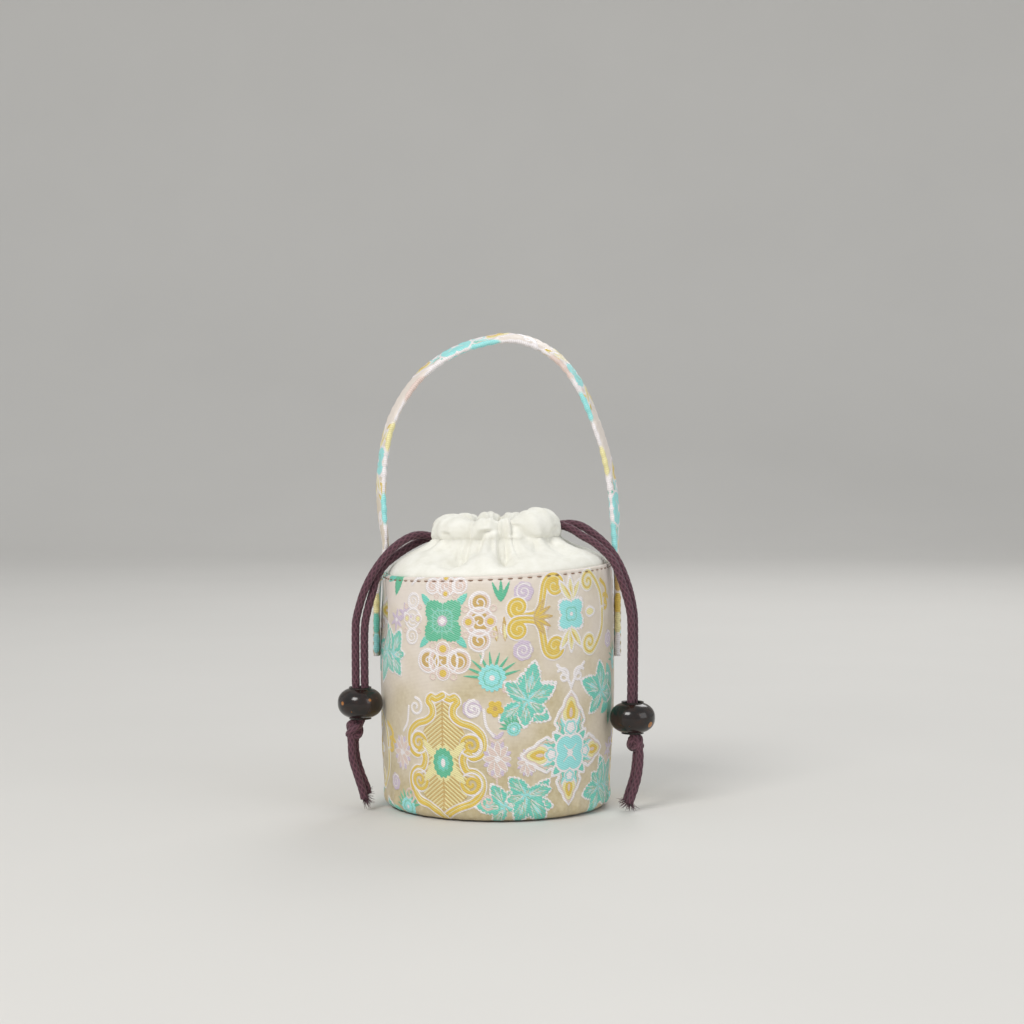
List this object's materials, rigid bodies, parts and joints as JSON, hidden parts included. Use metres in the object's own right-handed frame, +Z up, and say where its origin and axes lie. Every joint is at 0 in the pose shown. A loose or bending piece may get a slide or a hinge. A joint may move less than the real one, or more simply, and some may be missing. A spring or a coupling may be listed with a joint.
{
  "type": "kinchaku drawstring pouch",
  "caption": "Small round pouch with a stiffened brocade wall, a gathered cotton drawstring mouth, wooden cord beads and a brocade handle.",
  "frame": {"origin": "middle of the flat base, on the surface that the pouch stands on", "axes": "+Z up through the mouth to the handle, -Y towards the front panel, +X to the right as seen from the front, along the handle's span"},
  "size_m": [0.1406, 0.1052, 0.2125],
  "materials": {
    "brocade": "woven brocade",
    "cotton": "matte plain weave",
    "lining_cotton": "matte plain weave",
    "interlining": "stiff matte felt",
    "board": "matte pressed fibre board",
    "cord": "braided cotton",
    "bead_wood": "polished dark wood"
  },
  "bodies": {
    "pouch": {"front_panel": "brocade", "back_panel": "brocade", "base_cover": "brocade", "base_board": "board", "wall_stiffener": "interlining", "lining": "lining_cotton", "gathered_top": "cotton", "handle_strap": "brocade", "drawstring_left": "cord", "drawstring_right": "cord", "cord_left_outer": "cord", "cord_left_inner": "cord", "cord_right_back": "cord", "cord_right_front": "cord", "knot_left": "cord", "knot_right": "cord", "tail_left_front": "cord", "tail_left_back": "cord", "tail_right_front": "cord", "tail_right_back": "cord"},
    "bead_left": {"bead_left": "bead_wood"},
    "bead_right": {"bead_right": "bead_wood"}
  },
  "joints": [
    {"name": "bead_left_slide", "type": "slide", "parent": "pouch", "child": "bead_left", "axis": [0, 0, 1], "range_m": [0, 0.024]},
    {"name": "bead_right_slide", "type": "slide", "parent": "pouch", "child": "bead_right", "axis": [0, 0, 1], "range_m": [0, 0.031]}
  ]
}
